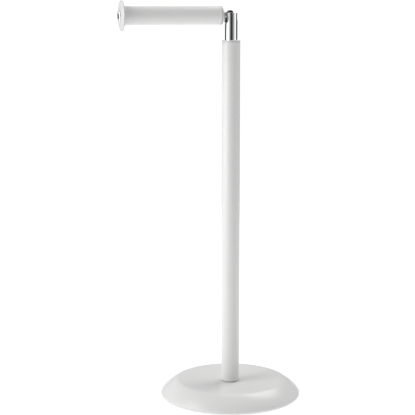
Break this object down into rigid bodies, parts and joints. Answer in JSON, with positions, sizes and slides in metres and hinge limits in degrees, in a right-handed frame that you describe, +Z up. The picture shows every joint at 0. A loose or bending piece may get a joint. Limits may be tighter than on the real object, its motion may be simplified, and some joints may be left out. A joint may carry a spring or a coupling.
{
  "type": "toilet roll holder",
  "caption": "Free-standing toilet roll holder: weighted dished round base, upright pole, chromed fork hinge and a level free-turning roller arm that folds up in line with the pole.",
  "frame": {"origin": "centre of the underside of the floor pad, on the pole's axis", "axes": "+Z up along the pole; the roller arm points along -X when level; +Y is the hinge pin's axis"},
  "size_m": [0.2549, 0.1964, 0.5518],
  "materials": {
    "white_paint": "smooth semi-gloss white powder coat",
    "white_plastic": "smooth moulded white plastic",
    "polished_chrome": "mirror-polished chrome plating",
    "zinc_steel": "dull zinc-plated steel",
    "cast_weight": "rough grey cast iron",
    "pad_rubber": "matt dark foam rubber",
    "nylon": "natural off-white nylon",
    "black_plastic": "smooth black acetal"
  },
  "bodies": {
    "stand": {"base_shell": "white_paint", "ballast_weight": "cast_weight", "base_plate": "zinc_steel", "floor_pad": "pad_rubber", "plate_screw_1": "zinc_steel", "plate_screw_2": "zinc_steel", "plate_screw_3": "zinc_steel", "pole_bolt": "zinc_steel", "bolt_washer": "zinc_steel", "bolt_lock_washer": "zinc_steel", "foot_gasket": "nylon", "foot_insert": "zinc_steel", "pole_tube": "white_paint", "top_collar": "white_plastic", "post_stud": "zinc_steel", "hinge_post": "polished_chrome", "hinge_pin": "polished_chrome"},
    "arm": {"hinge_knuckle": "black_plastic", "spindle_rod": "zinc_steel", "inner_thrust_washer": "nylon", "outer_thrust_washer": "nylon", "end_cap_nut": "polished_chrome"},
    "roller": {"inner_bush": "white_plastic", "roller_sleeve": "white_paint", "roll_stop": "white_plastic"}
  },
  "joints": [
    {"name": "arm_fold", "type": "hinge", "parent": "stand", "child": "arm", "pos_m": [0, 0, 0.5315], "axis": [0, 1, 0], "range_deg": [0, 90]},
    {"name": "roller_spin", "type": "hinge", "parent": "arm", "child": "roller", "pos_m": [-0.08, 0, 0.5315], "axis": [-1, 0, 0], "continuous": true}
  ]
}
